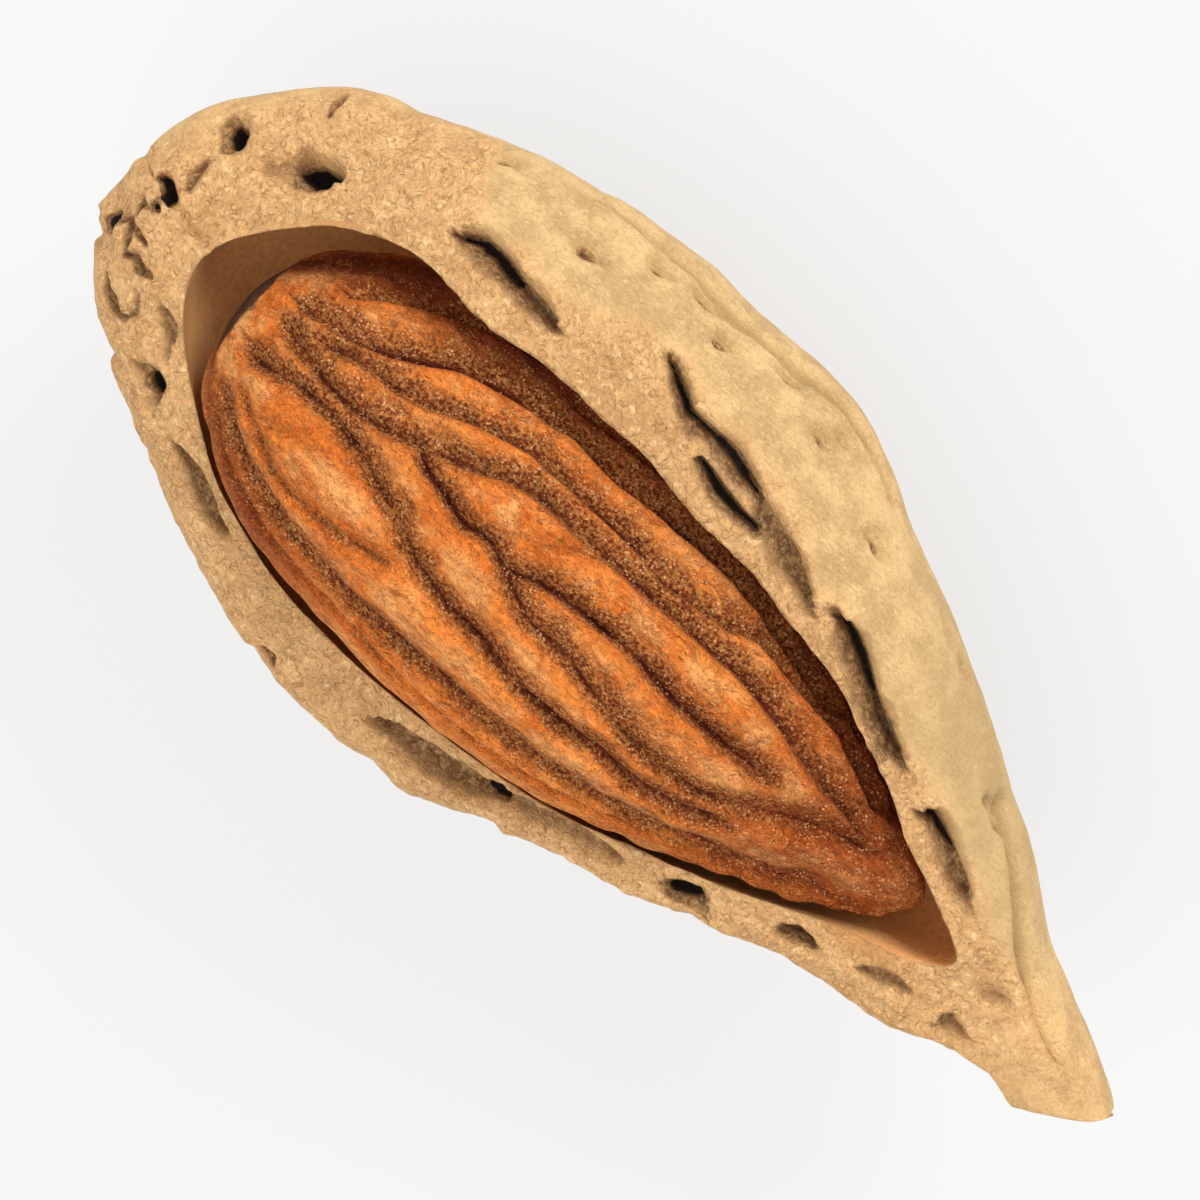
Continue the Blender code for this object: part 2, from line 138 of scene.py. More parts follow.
# Raised (+) or sunk (-) strokes in the upper face and the outside: points (x, y, z), half width, height.
STROKES = (
    ([(-16.85, 0.7, 1.7), (-16.6, 0.6, 1.75)], 0.28, 0.22),
    ([(-8.2, 8.3, 0.2), (-7.0, 8.5, 0.2), (-6.4, 8.6, 0.4), (-5.2, 8.6, 0.6), (-3.5, 8.7, 0.8), (-1.1, 8.6, 0.8),
      (0.3, 8.5, 0.5), (1.5, 8.2, 0.3), (2.7, 7.7, 0.3)], 0.24, -0.32),
    ([(10.1, 3.8, 0.8), (11.0, 3.2, 1.3), (11.7, 2.5, 1.6), (12.8, 1.7, 1.9), (13.7, 1.0, 1.9), (14.6, 0.4, 2.0),
      (15.5, 0.0, 1.9)], 0.3, -0.55),
    ([(9.7, 3.8, 1.6), (10.2, 3.5, 1.7), (10.4, 3.4, 1.5)], 0.14, -0.25),
    ([(4.4, -3.7, 2.6), (6.6, -3.2, 2.3), (8.8, -2.4, 2.3), (10.4, -1.8, 2.4), (11.8, -1.8, 2.0)], 0.2, 0.12),
)
# How far the widest outline is pushed out (+) or in (-), in millimetres, by the turn about the upright in degrees.
OUTLINE_SHIFT = (
    (0, -0.08), (10, -0.10), (27, 0.09), (37, 0.14), (42, 0.04), (49, 0.09), (56, 0.00), (59, 0.09), (67, 0.01),
    (73, 0.03), (78, -0.13), (89, 0.08), (97, -0.19), (100, -0.18), (105, 0.00), (110, -0.04), (115, 0.04),
    (117, -0.06), (124, -0.01), (132, -0.19), (136, -0.19), (139, -0.04), (144, 0.06), (157, -0.07),
    (175, -0.58), (180, -0.66), (182, -0.51), (185, -0.49), (188, -0.39), (191, -0.20), (193, 0.01),
    (194, -0.08), (195, -0.06), (197, -0.24), (198, -0.20), (199, 0.01), (202, 0.05), (209, 0.06), (214, -0.27),
    (215, -0.03), (216, 0.01), (221, -0.13), (224, -0.10), (225, -0.18), (232, 0.01), (235, -0.06), (244, 0.06),
    (246, 0.00), (247, -0.17), (251, 0.00), (254, 0.03), (260, -0.09), (262, -0.27), (265, 0.08), (266, 0.13),
    (272, -0.14), (274, -0.15), (275, 0.06), (280, -0.14), (287, 0.08), (291, -0.06), (292, -0.19), (295, 0.09),
    (302, -0.06), (305, 0.08), (311, 0.19), (314, 0.09), (316, -0.06), (319, -0.08), (321, -0.17), (325, -0.01),
    (328, -0.04), (329, 0.01), (333, 0.53), (334, 0.53), (345, 0.00), (360, -0.08),
)
# Hairline cracks in the upper face: points (x, y), with how dark each is.
CRACKS = (
    ([(3.4, 5.0), (4.0, 5.1)], 0.9), ([(6.4, 4.0), (6.7, 3.4), (6.9, 3.0)], 0.8),
)
# Outer limit of the grainy split face: (x, y).
FACE_LIMIT = ((-18.5, 10), (-11.5, 8.2), (-9.7, 6.35), (-8, 6.4), (-6.8, 6.3), (-5, 6.9), (-3.7, 7.3), (-2.2, 6.8),
              (-0.2, 6.7), (1.0, 6.3), (2.1, 5.5), (4.0, 5.25), (5.5, 4.4), (6.7, 3.8), (8.7, 3.05), (10.5, 2.15),
              (13.0, 1.1), (18.7, 0.2))
# Pits in the outside: (x, y, z), half width, depth.
HULL_PITS = (
    ((-10.5, 7.5, 0.8), 0.26, 0.3), ((-7.4, 7.5, 2.3), 0.3, 0.35), ((-5.7, 8.3, 1.6), 0.24, 0.3),
    ((-6.2, 8.6, 0.3), 0.2, 0.25), ((-4.3, 8.6, 1.4), 0.28, 0.3), ((-3.3, 8.3, 2.1), 0.26, 0.3),
    ((-3.7, 8.7, 1.2), 0.22, 0.25), ((-1.4, 8.7, 1.5), 0.26, 0.35), ((0.3, 8.0, 2.1), 0.22, 0.3),
    ((0.7, 8.2, 1.5), 0.2, 0.3), ((3.2, 7.0, 2.0), 0.28, 0.35), ((7.0, 5.5, 0.3), 0.2, 0.3),
    ((10.0, 3.6, 1.4), 0.24, 0.3), ((-12.0, 6.9, -2.6), 0.34, 0.4), ((-6.5, 7.4, -3.4), 0.3, 0.35),
    ((0.5, 7.6, -2.8), 0.34, 0.4), ((5.0, 5.0, -3.2), 0.28, 0.3), ((-14.0, 3.9, -4.2), 0.34, 0.4),
    ((-9.0, 4.4, -5.6), 0.3, 0.35), ((-12.5, -4.8, -3.8), 0.34, 0.4), ((-7.0, -6.6, -2.6), 0.3, 0.35),
    ((-1.0, -5.4, -3.8), 0.34, 0.4), ((4.5, -3.9, -2.8), 0.28, 0.35), ((9.0, -2.6, -3.0), 0.26, 0.3),
)

# Grooves in the kernel's skin: points (position along it, degrees round it from its keel edge, 90 on top), how
# strong each is, and its half width.
KERNEL_GROOVES = (
    ([(-10.5, 77), (-9.7, 78), (-8.7, 78), (-7.9, 74), (-7.2, 69), (-6.3, 63), (-5.5, 60), (-4.0, 57), (-2.8, 55),
      (-1.5, 57), (0.2, 55), (1.5, 53), (2.5, 51), (4.2, 49), (6.5, 46)], 1.0, 0.42),
    ([(-9.7, 61), (-8.7, 52), (-7.7, 47), (-6.7, 42), (-4.5, 37), (-2, 35)], 0.5, 0.3),
    ([(-9.5, 88), (-8.9, 86), (-8.1, 84), (-7.3, 84), (-6.4, 82), (-5.4, 77), (-4.3, 73), (-3.5, 70), (-1.6, 71),
      (0.3, 71), (1.2, 73), (2.0, 71), (3.2, 67), (3.9, 60), (4.9, 59), (6.0, 56), (7.1, 52), (7.7, 53),
      (9.1, 56)], 0.75, 0.36),
    ([(-7.3, 78), (-6.7, 78), (-6.0, 79)], 0.4, 0.22),
    ([(-10.5, 93), (-9.7, 97), (-8.8, 99), (-7.9, 100), (-7.0, 98), (-6.4, 96), (-5.7, 93), (-4.8, 89), (-4.1, 86),
      (-3.5, 82), (-2.7, 80), (-1.1, 80), (0.7, 80), (1.8, 79), (3.3, 78), (4.2, 76), (5.3, 76), (6.3, 78),
      (7.8, 82), (8.8, 82), (9.6, 89)], 0.8, 0.4),
    ([(-5.7, 93), (-5.2, 98), (-4.3, 100), (-3.6, 103), (-2.8, 101), (-2.0, 105), (-1.3, 101), (-0.4, 99),
      (1.1, 98), (2.0, 98), (3.2, 101), (5.3, 102), (6.5, 102)], 1.0, 0.36),
    ([(-2.0, 105), (-1.5, 108), (-0.8, 112), (0.6, 113), (1.4, 116), (2.4, 120), (3.3, 124), (4.3, 126),
      (5.4, 128), (6.2, 125), (7.0, 119), (7.8, 112), (8.8, 104), (9.7, 96)], 0.8, 0.42),
    ([(-1.8, 94), (-1.3, 88), (-0.7, 84), (0.1, 81), (0.9, 79)], 0.25, 0.16),
    ([(-10.6, 120), (-9.9, 113), (-9.1, 108), (-7.9, 107), (-6.7, 109), (-6.1, 112), (-4.9, 117), (-4.2, 121),
      (-3.6, 124), (-2.4, 127), (-1.1, 128), (-0.1, 132), (1.7, 135), (2.7, 135), (3.7, 138), (4.9, 141),
      (6.2, 138)], 0.85, 0.38),
    ([(-10.0, 134), (-9.5, 136), (-8.8, 138), (-8.2, 142), (-7.5, 142), (-6.8, 139), (-5.6, 136), (-4.4, 131)],
     0.45, 0.24),
    ([(-9.1, 132), (-8.5, 125), (-8.0, 115), (-7.8, 111)], 0.2, 0.12),
    ([(-10.4, 156), (-9.6, 158), (-8.5, 157), (-6.0, 156), (-4.7, 157), (-3.2, 155), (-1.1, 154), (0.7, 156),
      (2.8, 157), (4.8, 160), (6.8, 161), (9.1, 162)], 0.7, 0.46),
    ([(-10.3, 172), (-8.0, 169), (-4.0, 168), (0.0, 168), (4.0, 169), (8.0, 170), (10.3, 168)], 0.6, 0.14),
    ([(-11.0, 30), (-8.5, 22), (-4.0, 17), (0.0, 16), (5.0, 20), (9.5, 30)], 0.35, 0.4),
    ([(-3.5, 46), (0.0, 42), (3.5, 38), (7.5, 36)], 0.3, 0.36),
)


def curve_through(x, knots):
    """Smooth curve through the knots: a cubic on each span, with the spans' blended slope at each knot."""
    at, value = np.array(knots, float).T
    span = np.diff(at)
    slope = np.diff(value) / span
    tangent = np.empty(len(at))
    tangent[0], tangent[-1] = slope[0], slope[-1]
    tangent[1:-1] = (slope[1:] * span[:-1] + slope[:-1] * span[1:]) / (span[1:] + span[:-1])
    x = np.clip(x, at[0], at[-1])
    i = np.clip(np.searchsorted(at, x, side="right") - 1, 0, len(at) - 2)
    t = (x - at[i]) / span[i]
    start = (1 + 2 * t) * (1 - t) ** 2 * value[i] + t * (1 - t) ** 2 * span[i] * tangent[i]
    return start + t * t * (3 - 2 * t) * value[i + 1] + t * t * (t - 1) * span[i] * tangent[i + 1]


def smooth_step(low, high, value):
    """0 below low, 1 above high, and the cubic 3t^2 - 2t^3 between."""
    t = np.clip((value - low) / (high - low), 0, 1)
    return t * t * (3 - 2 * t)


def soft_lower(a, b, width):
    """The lower of a and b, rounded where they come within width of each other."""
    h = np.clip(0.5 + 0.5 * (b - a) / width, 0, 1)
    return b + (a - b) * h - width * h * (1 - h)


def noise(points, grain, seed):
    """Smooth random heights from -1 to 1: random values at the corners of cubes of this size, in millimetres,
    blended inside each cube by the cubic 3t^2 - 2t^3."""
    table = np.random.default_rng(seed).uniform(-1, 1, (32, 32, 32))
    at = points / grain
    cell = np.floor(at).astype(int)
    part = at - cell
    part = part * part * (3 - 2 * part)
    total = np.zeros(points.shape[:-1])
    for corner in np.ndindex(2, 2, 2):
        weight = np.prod(np.where(corner, part, 1 - part), -1)
        i, j, k = np.moveaxis((cell + corner) % 32, -1, 0)
        total += weight * table[i, j, k]
    return total


def egg_points(form, ends, along, across, up):
    """Points of a long egg: along is -1 to 1, and (across, up) the direction round its section, of length 1.
    Each quarter of a section is a quarter ellipse with its own half axes."""
    x = (ends[0] + ends[1]) / 2 + (ends[1] - ends[0]) / 2 * along
    circle = np.sqrt(np.maximum(0, 1 - along**2))
    side = np.where(across > 0, curve_through(x, form["keel"]), curve_through(x, form["back"]))
    crown = np.where(across > 0, curve_through(x, form["crown_keel"]), curve_through(x, form["crown_back"]))
    tall = np.where(up > 0, crown, curve_through(x, form["depth"]))
    return np.stack([x, curve_through(x, form["centre"]) + circle * side * across, circle * tall * up], -1)


def ball_points(form, ends, turn_up, turn_round):
    """The egg's points for a direction: turn_up from its lowest point, turn_round about the upright."""
    along = np.sin(turn_up) * np.cos(turn_round)
    across, up = np.sin(turn_up) * np.sin(turn_round), -np.cos(turn_up)
    length = np.maximum(np.hypot(across, up), 1e-9)
    return egg_points(form, ends, along, across / length, up / length)


def rim_height(x, y):
    """Height of the split face: a gentle slope that sags to both ends, with low waves."""
    waves = 0.10 * np.sin(0.9 * x + 0.5 * y) + 0.07 * np.sin(1.7 * x - 1.1 * y + 1.0)
    return RIM_HEIGHT + RIM_SLOPE * y - RIM_SAG * (x - RIM_CENTRE) ** 2 + waves


def top_height(x, y):
    """Height of the shell's upper surface: the lower of the split face and the egg's own top, with a round edge
    between them that is wide on the keel side and narrow on the other."""
    half = (SHELL_ENDS[1] - SHELL_ENDS[0]) / 2
    along = np.clip((x - (SHELL_ENDS[0] + SHELL_ENDS[1]) / 2) / half, -1, 1)
    circle = np.sqrt(np.maximum(1e-9, 1 - along**2))
    offset = y - curve_through(x, SHELL["centre"])
    side = np.where(offset > 0, curve_through(x, SHELL["keel"]), curve_through(x, SHELL["back"]))
    crown = np.where(offset > 0, curve_through(x, SHELL["crown_keel"]), curve_through(x, SHELL["crown_back"]))
    reach = np.clip(np.abs(offset) / (circle * side), 0, 1)
    top = circle * crown * np.sqrt(1 - reach**2)
    width = 0.35 + 0.9 * smooth_step(0, 4, y) * smooth_step(15, 10, x) + 0.6 * smooth_step(-11, -15, x)
    return np.minimum(soft_lower(top, rim_height(x, y), width), top)


def hollow_edge(turn_round):
    """The hollow's edge: for each direction, the first turn up at which its wall reaches the split face."""
    turn_up = np.linspace(0.6, 2.6, 801)[:, None]
    wall = ball_points(HOLLOW, HOLLOW_ENDS, turn_up, turn_round[None, :])
    over = wall[..., 2] - rim_height(wall[..., 0], wall[..., 1])
    first = np.argmax(over > 0, axis=0)
    below = np.take_along_axis(over, first[None] - 1, 0)[0]
    above = np.take_along_axis(over, first[None], 0)[0]
    return turn_up[first - 1, 0] + (turn_up[1, 0] - turn_up[0, 0]) * -below / (above - below)


def spaced_turns(count):
    """Turns about the upright that space the points of the shell's widest outline evenly."""
    fine = np.linspace(0, 2 * np.pi, 7201)
    outline = ball_points(SHELL, SHELL_ENDS, np.pi / 2, fine)
    length = np.concatenate([[0], np.cumsum(np.linalg.norm(np.diff(outline, axis=0), axis=1))])
    return np.interp(np.linspace(0, length[-1], count, endpoint=False), length, fine)


def even_rows(path, count):
    """Rows of points spaced evenly along each column of a path of points, by its length."""
    step = np.linalg.norm(np.diff(path, axis=0), axis=-1)
    length = np.concatenate([np.zeros((1, path.shape[1])), np.cumsum(step, 0)])
    length /= length[-1]
    rows = []
    for share in np.linspace(0, 1, count):
        i = np.clip((length < share).sum(0), 1, len(path) - 1)[None]
        low, high = np.take_along_axis(length, i - 1, 0)[0], np.take_along_axis(length, i, 0)[0]
        part = ((share - low) / np.maximum(high - low, 1e-9))[:, None]
        below = np.take_along_axis(path, i[..., None] - 1, 0)[0]
        above = np.take_along_axis(path, i[..., None], 0)[0]
        rows.append(below + (above - below) * part)
    return np.array(rows)


def grid_normals(grid):
    """Outward normals of a grid that closes round its columns: the cross product of its two directions."""
    down = np.gradient(grid, axis=0)
    round_ = np.roll(grid, -1, 1) - np.roll(grid, 1, 1)
    normal = np.cross(round_, down)
    return normal / np.maximum(np.linalg.norm(normal, axis=-1, keepdims=True), 1e-12)


def line_offset(points, line):
    """Distance of each point from a line of short straight pieces, and which side of it the point is on, seen
    from above: positive on the left."""
    best = np.full(points.shape[:-1], np.inf)
    side = np.zeros(points.shape[:-1])
    for start, end in zip(line[:-1], line[1:]):
        run = end - start
        share = np.clip(((points - start) @ run) / (run @ run), 0, 1)
        gap = points - (start + share[..., None] * run)
        distance = np.linalg.norm(gap, axis=-1)
        nearer = distance < best
        best = np.where(nearer, distance, best)
        side = np.where(nearer, run[0] * gap[..., 1] - run[1] * gap[..., 0], side)
    return best, side


def on_surface(points, rows):
    """The points, each moved to the surface's nearest grid point."""
    flat = rows.reshape(-1, 3)
    return np.array([flat[np.argmin(((flat - point) ** 2).sum(-1))] for point in np.array(points, float)])


def closed_mesh(name, rows, first_pole, last_pole, values):
    """A closed mesh of a grid of rows that close round, with a pole point at each end."""
    count, across = rows.shape[:2]
    points = np.concatenate([rows.reshape(-1, 3), [first_pole, last_pole]])
    row, column = np.meshgrid(np.arange(count - 1), np.arange(across), indexing="ij")
    nearby = (column + 1) % across
    quads = np.stack([row * across + column, row * across + nearby, (row + 1) * across + nearby,
                      (row + 1) * across + column], -1).reshape(-1, 4)
    around = np.arange(across)
    start = np.stack([np.full(across, count * across), (around + 1) % across, around], -1)
    last = (count - 1) * across
    end = np.stack([np.full(across, count * across + 1), last + around, last + (around + 1) % across], -1)
    faces = [*quads.tolist(), *start.tolist(), *end.tolist()]
    mesh = bpy.data.meshes.new(name)
    mesh.from_pydata(to_part(points).tolist(), [], faces)
    for key, value in values.items():
        layer = mesh.attributes.new(key, "FLOAT", "POINT")
        layer.data.foreach_set("value", np.concatenate([value.ravel(), [value[0].mean(), value[-1].mean()]]))
    mesh.shade_smooth()
    piece = bpy.data.objects.new(name, mesh)
    bpy.context.scene.collection.objects.link(piece)
    return piece


def to_part(points):
    """Metres in the part's frame, from millimetres in the nut's."""
    return (points + NUT_AT) * MM


def shell_grid(turns):
    """The half shell before its relief: rows from the lowest point up the outside to the widest outline, over the
    split face to the hollow's edge, and down the hollow to its own lowest point. The outside and the hollow are
    long eggs, and the upper surface is top_height. Returns the rows, the part that each is in (0 the outside,
    1 the face, 2 the hollow) and the widest outline."""
    up = np.linspace(0, 1, OUTSIDE_ROWS + 2)[1:-1, None] ** 0.8 * np.pi / 2
    outside = ball_points(SHELL, SHELL_ENDS, up, turns[None, :])
    edge_up = hollow_edge(turns)
    edge = ball_points(HOLLOW, HOLLOW_ENDS, edge_up, turns)
    outline = ball_points(SHELL, SHELL_ENDS, np.pi / 2, turns)
    share = (np.linspace(0, 1, 300) ** 2)[:, None, None]
    path = outline[None] + (edge - outline)[None] * share
    path[..., 2] = top_height(path[..., 0], path[..., 1])
    face = even_rows(path, FACE_ROWS)
    down = (1 - np.linspace(0, 1, HOLLOW_ROWS + 1)[:-1, None] ** 1.3) * edge_up
    down[0] = edge_up - 0.012
    hollow = ball_points(HOLLOW, HOLLOW_ENDS, down, turns[None, :])
    hollow[..., 2] = np.minimum(hollow[..., 2], top_height(hollow[..., 0], hollow[..., 1]) - 0.03)
    rows = np.concatenate([outside, face, hollow])
    part = np.repeat([0, 1, 2], [OUTSIDE_ROWS, FACE_ROWS, HOLLOW_ROWS])[:, None]
    return rows, np.broadcast_to(part, rows.shape[:2]), outline


def on_top(line):
    """The points (x, y) of a line, set on the shell's upper surface."""
    flat = np.array(line, float)
    return np.column_stack([flat, top_height(flat[:, 0], flat[:, 1])])


def holes_and_pits(rows, part):
    """How deep each point is sunk by the holes and the pits, and how dark it is painted there: painted shade in
    their depths. A hole falls off with the distance from its line, sharply on the left and in a long ramp on the
    right, and narrows to its ends. A pit falls off with the distance from its centre, sharply on its inner side
    and softly on the other."""
    wood = part != 2
    near_top = ((part == 1) | (rows[..., 2] > 0)) & wood
    wobble = 1 + 0.22 * noise(rows, 0.6, 11) + 0.14 * noise(rows, 0.3, 12)
    sunk, dark = np.zeros(part.shape), np.zeros(part.shape)
    for line, left, right, depth, darkness in RIM_HOLES:
        line = on_top(line)
        away, side = line_offset(rows, line)
        ends = np.minimum(*(np.linalg.norm(rows - line[i], axis=-1) for i in (0, -1)))
        taper = np.clip(0.45 + ends / (0.4 * np.linalg.norm(line[-1] - line[0]) + 0.5), 0, 1)
        reach = away / (np.where(side > 0, left + 0.1, 1.6 * right) * taper) * wobble
        to_left = np.where(side > 0, away, -away)
        sharp_edge = 0.5 + (0.8 * left * taper - to_left) / 0.15
        shade = np.minimum(sharp_edge, np.where(side > 0, 2.0, 1.35 - reach))
        sunk = np.maximum(sunk, 0.8 * depth * smooth_step(1.3, 0.2, reach) * near_top)
        # Painted shade: the hole is painted dark inside, for its depth.
        dark = np.maximum(dark, darkness * np.clip(shade, 0, 1) * near_top)
    for centre, width, depth in HULL_PITS:
        gap = rows - on_surface([centre], rows)[0]
        inner = smooth_step(0.05, -0.05, gap[..., 1])
        reach = np.linalg.norm(gap / (1.4, 1, 1), axis=-1) / (width * (2.1 - inner)) * wobble
        sunk = np.maximum(sunk, 1.3 * depth * smooth_step(1.2, 0.0, reach) * wood)
        # Painted shade: the pit is painted dark towards its centre.
        dark = np.maximum(dark, np.clip(1.3 - 2.6 * reach, 0, 0.85) * wood)
    return sunk, dark


def cut_tip(rows, height, wood):
    """The rows with the tip cut off aslant: points past the cut's upright plane are drawn back square to it, and
    kept inside the keel wall, which is the egg's own outline at their height."""
    turn = np.radians(TIP_CUT_TURN_DEG)
    off = np.array([np.sin(turn), -np.cos(turn)])
    flat = rows[..., :2] - TIP_CUT_FROM
    past = np.maximum(flat @ off, 0) * ((flat[..., 0] > -1) & wood)
    x, y = np.moveaxis(rows[..., :2] - past[..., None] * off, -1, 0)
    along = (x - (SHELL_ENDS[0] + SHELL_ENDS[1]) / 2) / ((SHELL_ENDS[1] - SHELL_ENDS[0]) / 2)
    low = np.minimum(rows[..., 2], 0) / curve_through(x, SHELL["depth"])
    circle = np.sqrt(np.maximum(1 - along**2 - low**2, 0))
    keel_wall = curve_through(x, SHELL["centre"]) + circle * curve_through(x, SHELL["keel"])
    keel_wall -= 0.05 + 0.3 * smooth_step(0.7, -0.1, height)
    return np.stack([x, np.where(past > 0, np.minimum(y, keel_wall), y), rows[..., 2]], -1)


def shell_surface():
    """The half shell as one closed surface: shell_grid, moved along its normals by grain and by raised or sunk
    strokes, less its holes, pits and cracks. The widest outline is then pushed out or in by OUTLINE_SHIFT, fading
    within 2 mm of it, the bottom is flattened where it rests, and the tip is cut. Returns the rows, both poles and
    the shading values."""
    turns = spaced_turns(SHELL_TURNS)
    rows, part, outline = shell_grid(turns)
    wood, on_face = part != 2, part == 1
    normal = grid_normals(rows)
    x, y, z = np.moveaxis(rows, -1, 0)

    past_face = y - curve_through(x, FACE_LIMIT) + 0.2 * noise(rows, 0.7, 6)
    rim_share = (1 - 0.6 * smooth_step(12, 16, x)) * smooth_step(0.5, -0.4, past_face) * wood
    rim_share *= smooth_step(-0.3, 1.1, z + 0.6 * noise(rows, 1.2, 8))
    hollow_share = 1.0 - wood
    hull_share = 1 - np.maximum(rim_share, hollow_share)

    sunk, dark = holes_and_pits(rows, part)
    raised, furrow = np.zeros(part.shape), np.zeros(part.shape)
    for line, width, height in STROKES:
        away, _ = line_offset(rows, on_surface(line, rows))
        stroke = np.exp(-((away / width) ** 2)) * wood
        raised += height * stroke
        # Sunk strokes are marked, for painted shade in their furrows.
        furrow = np.maximum(furrow, stroke * (height < 0))
    crack = np.zeros(part.shape)
    for line, darkness in CRACKS:
        away, _ = line_offset(rows, on_top(line))
        crack = np.maximum(crack, darkness * smooth_step(0.08, 0.0, away) * on_face)
    grain = 0.05 * noise(rows, 1.6, 1) + 0.025 * noise(rows, 0.55, 2)
    grain += rim_share * (0.05 * noise(rows, 0.8, 7) + 0.034 * noise(rows, 0.32, 3) + 0.012 * noise(rows, 0.18, 4))
    grain += hull_share * 0.09 * noise(rows * (0.45, 1, 1), 2.6, 5)

    run = np.roll(outline, -1, 0) - np.roll(outline, 1, 0)
    outward = np.stack([run[:, 1], -run[:, 0], np.zeros(len(run))], -1)
    outward /= np.linalg.norm(outward, axis=-1, keepdims=True)
    shift = np.interp(np.degrees(turns), *np.array(OUTLINE_SHIFT).T)
    inward = np.linalg.norm((rows - outline)[..., :2], axis=-1)
    near_outline = smooth_step(2.0, 0.2, inward) * smooth_step(-6.0, -3.5, z) * wood

    made = rows + normal * (grain * wood + raised - sunk - 0.05 * crack)[..., None]
    made = made + outward * (shift * near_outline)[..., None]
    made[..., 2] = np.maximum(made[..., 2], REST_HEIGHT)
    made = cut_tip(made, z, wood)

    # Painted light and shade for the hollow: 0 at its edge, rising to 1 at 2.6 mm below the split face and towards
    # the tip; the material paints the hollow darker at 0 and paler at 1.
    deep = np.maximum(np.clip((rim_height(x, y) - z) / 2.6, 0, 1), smooth_step(7, 10, x)) * hollow_share
    stain = np.exp(-(((x - 9.6) / 1.9) ** 2) - ((y + 0.9) / 0.8) ** 2) * on_face
    dull = smooth_step(3, 9, x) * smooth_step(15, 11, x) * hull_share
    values = {"rim": rim_share, "hollow": hollow_share, "deep": deep, "stain": stain, "dark": dark, "crack": crack,
              "furrow": furrow, "dull": dull}
    lowest = np.array([0, 0, REST_HEIGHT])
    floor_of_hollow = ball_points(HOLLOW, HOLLOW_ENDS, np.array(0.0), np.array(0.0))
    return made, lowest, floor_of_hollow, values


def seated(points):
    """Points of the kernel, rolled about its length and moved to where it lies in the hollow."""
    roll = np.radians(KERNEL_ROLL_DEG)
    x, y, z = np.moveaxis(points, -1, 0)
    return np.stack([x, y * np.cos(roll) + z * np.sin(roll), z * np.cos(roll) - y * np.sin(roll)], -1) + KERNEL_AT


def kernel_grooves(rows):
    """By distance from the grooves' lines: how deep in a groove each point is (a narrow peak on the line), how far
    down the valley beside it (a wide one, gentler on the line's left), and the distance to the nearest line."""
    half = (KERNEL_ENDS[1] - KERNEL_ENDS[0]) / 2
    groove, valley = np.zeros(rows.shape[:2]), np.zeros(rows.shape[:2])
    nearest = np.full(rows.shape[:2], np.inf)
    broken = 1 + 0.5 * noise(rows, 0.8, 25)
    wander = 1 + 0.25 * noise(rows, 0.6, 21)
    for line, strength, width in KERNEL_GROOVES:
        at, degrees = np.array(line, float).T
        knots = np.arange(len(at))
        fine = np.linspace(0, len(at) - 1, 6 * len(at))
        along, turn = np.interp(fine, knots, at) / half, np.radians(np.interp(fine, knots, degrees))
        away, side = line_offset(rows, egg_points(KERNEL, KERNEL_ENDS, along, np.cos(turn), np.sin(turn)))
        away = away * wander
        nearest = np.minimum(nearest, away)
        reach = away / width
        groove = np.maximum(groove, strength * broken * np.exp(-((reach * 2.6) ** 1.4)))
        slope = reach / np.where(side > 0, 1.7, 0.7)
        valley = np.maximum(valley, min(1, strength + 0.2) * np.exp(-(slope**2)))
    return groove, valley, nearest


def kernel_surface():
    """The kernel as one closed surface: a long egg, whose rows run from its blunt end to its tip. Grooves and
    valleys are sunk along the normals, with plain waves of them underneath, the edge carries a thin lip, and fine
    grain roughens it, most at the tip. Crests are the places far from every groove. Returns the rows, both poles
    and the shading values."""
    along = -np.cos(np.linspace(0, np.pi, KERNEL_ROWS + 2))[1:-1, None]
    angle = np.linspace(0, 2 * np.pi, KERNEL_TURNS, endpoint=False)[None, :]
    along, angle = np.broadcast_arrays(along, angle)
    turned = np.degrees(angle)
    rows = egg_points(KERNEL, KERNEL_ENDS, along, np.cos(angle), np.sin(angle))
    x = rows[..., 0]
    fade = smooth_step(1.0, 0.93, np.abs(along))
    upper = smooth_step(-0.35, 0.0, np.sin(angle))

    groove, valley, nearest = kernel_grooves(rows)
    phase = 6 * angle + 0.9 * np.sin(4.2 * along + 0.6) + 0.5 * np.sin(9 * along + 2 * angle)
    under = np.exp(-((np.sin(phase) / 0.42) ** 2)) * 0.8
    groove = groove * upper + under * (1 - upper)
    valley = valley * upper + under * (1 - upper)
    lip = np.exp(-((np.sin(angle) / 0.07) ** 2))
    tip = smooth_step(2.5, 11.0, x + 1.2 * noise(rows, 1.2, 27))
    hilum = smooth_step(-11.33, -11.43, x + 0.12 * noise(rows, 0.4, 24))
    hilum *= smooth_step(15, 40, turned) * smooth_step(180, 160, turned)

    relief = 0.14 * lip - (1 - 0.8 * lip) * (0.20 * groove + 0.40 * valley)
    relief += 0.08 * noise(rows * (0.35, 1, 1), 0.9, 22) + (0.045 + 0.06 * tip) * noise(rows * (0.5, 1, 1), 0.3, 23)
    made = rows + grid_normals(rows) * (fade * relief)[..., None]

    # Far from every groove: where the material paints a highlight.
    crest = smooth_step(0.25, 0.8, nearest + 0.3 * noise(made, 1.1, 26)) * upper
    # Painted shade: the keel-side strip, which the shell's rim shades, is marked for darkening; the back edge near
    # the blunt end is marked too, for the skin's own dark red there. Both also carry scurf.
    blunt_side = smooth_step(148, 170, turned) * smooth_step(-3, -8, made[..., 0])
    keel_side = np.maximum(smooth_step(72, 42, turned) * upper, 0.8 * blunt_side * upper)
    values = {"groove": groove, "valley": valley, "crest": crest, "lip": lip, "hilum": hilum, "tip": tip,
              "keel_side": keel_side}
    ends = [egg_points(KERNEL, KERNEL_ENDS, np.array(end), np.array(1.0), np.array(0.0)) for end in (-1.0, 1.0)]
    return seated(made), seated(ends[0]), seated(ends[1]), values


